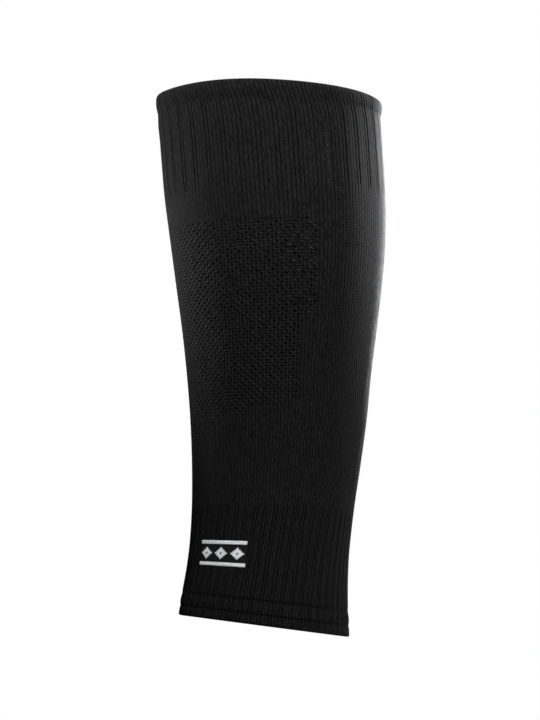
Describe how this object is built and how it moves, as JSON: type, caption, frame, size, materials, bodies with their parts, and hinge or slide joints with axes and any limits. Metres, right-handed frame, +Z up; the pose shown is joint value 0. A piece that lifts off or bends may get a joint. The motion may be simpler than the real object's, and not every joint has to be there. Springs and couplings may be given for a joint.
{
  "type": "calf compression sleeve",
  "caption": "Knitted calf compression sleeve: an open tapering tube with a ribbed cuff and turned edge, an eyelet panel over the shin, a ribbed ankle and a turned hem.",
  "frame": {"origin": "on the leg's axis at the fullest part of the calf, where the sleeve sits on the leg", "axes": "+Z up the leg, +X to the back of the calf, -Y to the leg's outer side with the badge"},
  "size_m": [0.1289, 0.1212, 0.303],
  "materials": {
    "knit": "matt black ribbed and plain compression knit",
    "eyelet_knit": "matt black open eyelet knit",
    "light_knit": "light grey knitted-in pattern on black"
  },
  "bodies": {
    "root": {"top_welt": "knit", "upper_rib": "knit", "calf_tube": "knit", "mesh_panel": "eyelet_knit", "ankle_rib": "knit", "bottom_hem": "knit", "badge": "light_knit"}
  },
  "joints": []
}
